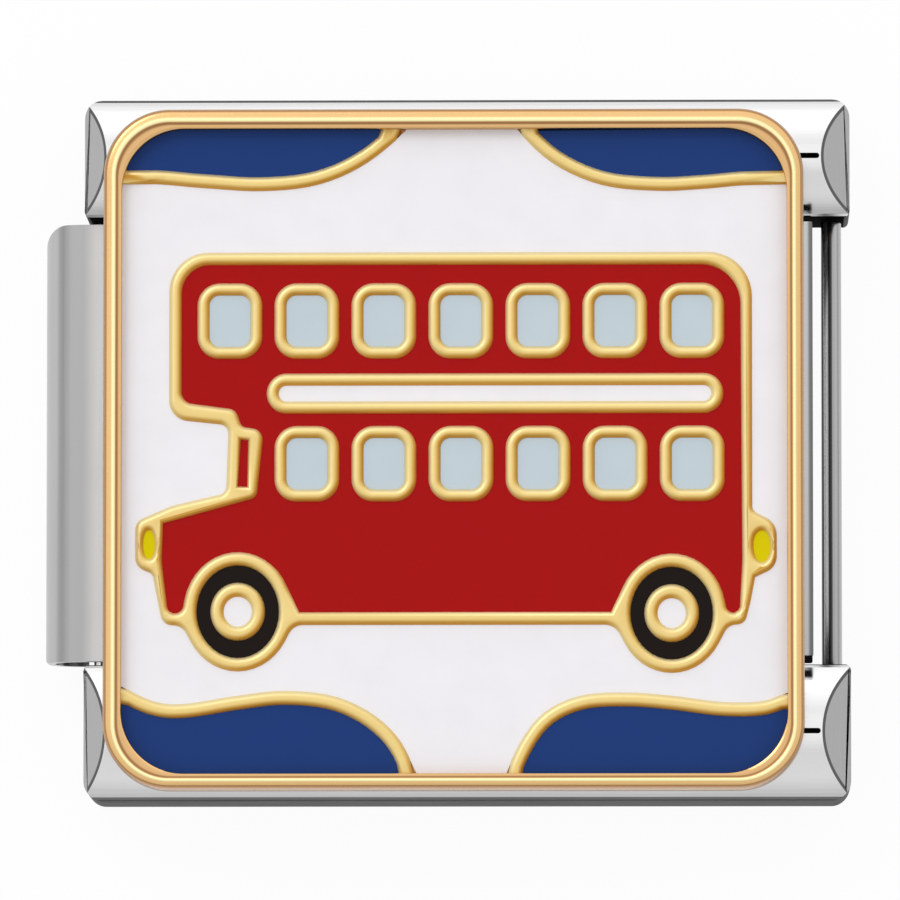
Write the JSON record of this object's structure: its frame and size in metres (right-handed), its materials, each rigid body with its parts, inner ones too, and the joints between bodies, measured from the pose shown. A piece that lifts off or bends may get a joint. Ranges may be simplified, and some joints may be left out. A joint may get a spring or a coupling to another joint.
{
  "type": "modular bracelet charm link with an enamelled double decker bus picture",
  "caption": "Modular bracelet link: steel shell with rails, catch rod and spring-back hook sleeve, and a gold face with raised lines around enamel cells showing a double decker bus.",
  "frame": {"origin": "under the middle of the whole link, on the plane that the two rails stand on", "axes": "+X along the bracelet, from the hook sleeve towards the catch rod; +Y across the bracelet, towards the top of the picture; +Z out of the enamelled face"},
  "size_m": [0.0104, 0.009, 0.0024],
  "materials": {
    "polished_steel": "polished stainless steel",
    "gold_plate": "polished, gold plated",
    "gold_line": "polished, gold plated",
    "white_enamel": "glossy enamel",
    "blue_enamel": "glossy enamel",
    "red_enamel": "glossy enamel",
    "pale_grey_enamel": "glossy enamel",
    "black_enamel": "glossy enamel",
    "yellow_enamel": "glossy enamel"
  },
  "bodies": {
    "link": {"shell": "polished_steel", "catch_rod": "polished_steel", "guide_rod": "polished_steel", "face_plate": "gold_plate", "bezel_frame": "gold_plate", "bus_outline": "gold_line", "window_rims": "gold_line", "stripe_rim": "gold_line", "hub_rims": "gold_line", "corner_lines": "gold_line", "white_ground": "white_enamel", "blue_corners": "blue_enamel", "red_bodywork": "red_enamel", "window_panes": "pale_grey_enamel", "white_stripe": "white_enamel", "black_tyres": "black_enamel", "white_hubs": "white_enamel", "yellow_lamps": "yellow_enamel"},
    "hook": {"sleeve": "polished_steel"}
  },
  "joints": [
    {"name": "sleeve_slide", "type": "slide", "parent": "link", "child": "hook", "axis": [-1, 0, 0], "range_m": [0, 0.0024], "stiffness_N_per_m": 100}
  ]
}
